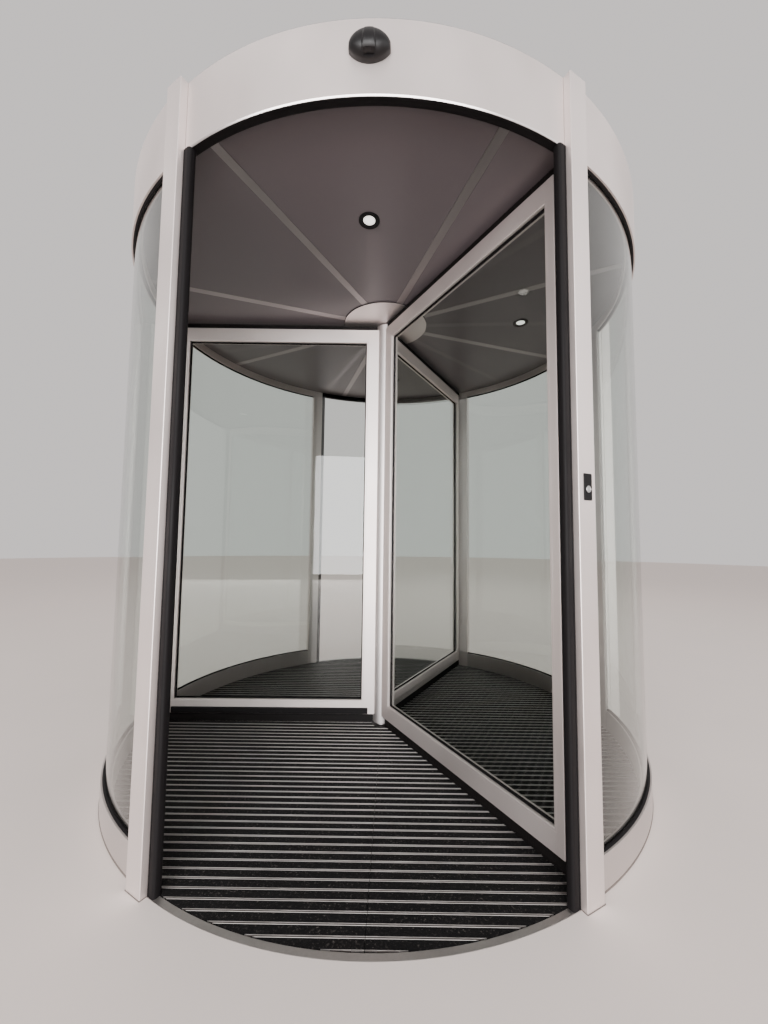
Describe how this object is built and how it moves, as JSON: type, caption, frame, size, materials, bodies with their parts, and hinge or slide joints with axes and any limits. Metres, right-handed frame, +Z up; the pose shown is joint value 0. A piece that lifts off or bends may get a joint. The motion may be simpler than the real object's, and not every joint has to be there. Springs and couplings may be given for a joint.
{
  "type": "three-wing revolving door",
  "caption": "Revolving door: a round glazed drum with a canopy and two passages, and a rotor of framed glass leaves on a centre column that turns without stop.",
  "frame": {"origin": "centre of the drum at the underside of the floor ring, 20 mm under the finished floor", "axes": "+Z up along the rotor's axis, +Y into the building, +X to the right seen from outside"},
  "size_m": [2.58, 2.556, 2.453],
  "materials": {
    "aluminium": "satin anodised",
    "column": "satin anodised",
    "floor_ring": "brushed, worn",
    "mat_carpet": "needle-punched inserts",
    "mat_bars": "milled, worn",
    "rubber": "smooth matt",
    "wall_glass": "clear laminated",
    "leaf_glass": "clear toughened",
    "ceiling": "satin powder coat",
    "ceiling_strips": "satin anodised",
    "bezel": "satin black",
    "lens": "opal",
    "steel": "primed",
    "roof": "mill finish sheet",
    "sensor": "gloss black",
    "button_plate": "satin black",
    "button": "brushed",
    "brush": "nylon bristle"
  },
  "bodies": {
    "drum": {"base_rail_back_left": "aluminium", "base_rail_back_right": "aluminium", "base_rail_front_left": "aluminium", "base_rail_front_right": "aluminium", "button_plates": "button_plate", "canopy_frame": "steel", "ceiling_disc": "aluminium", "ceiling_panels": "ceiling", "ceiling_strips": "ceiling_strips", "downlight_bezels": "bezel", "downlight_lenses": "lens", "drive_unit": "steel", "fascia_back": "aluminium", "fascia_front": "aluminium", "fascia_left": "aluminium", "fascia_right": "aluminium", "floor_bearing": "floor_ring", "floor_ring": "floor_ring", "header_seals": "rubber", "jamb_seals_back": "rubber", "jamb_seals_front": "rubber", "mat_bars": "mat_bars", "mat_left": "mat_carpet", "mat_right": "mat_carpet", "post_back_left": "aluminium", "post_back_right": "aluminium", "post_front_left": "aluminium", "post_front_right": "aluminium", "push_buttons": "button", "roof_cover": "roof", "sensor_back": "sensor", "sensor_front": "sensor", "side_mullion_left": "aluminium", "side_mullion_right": "aluminium", "wall_gaskets": "rubber", "wall_glass_back_left": "wall_glass", "wall_glass_back_right": "wall_glass", "wall_glass_front_left": "wall_glass", "wall_glass_front_right": "wall_glass"},
    "rotor": {"centre_column": "column", "leaf_brushes": "brush", "leaf_frame_1": "aluminium", "leaf_frame_2": "aluminium", "leaf_frame_3": "aluminium", "leaf_panes": "leaf_glass", "leaf_rubber": "rubber"}
  },
  "joints": [
    {"name": "rotor_spin", "type": "hinge", "parent": "drum", "child": "rotor", "pos_m": [0, 0, 0], "axis": [0, 0, 1], "continuous": true}
  ]
}
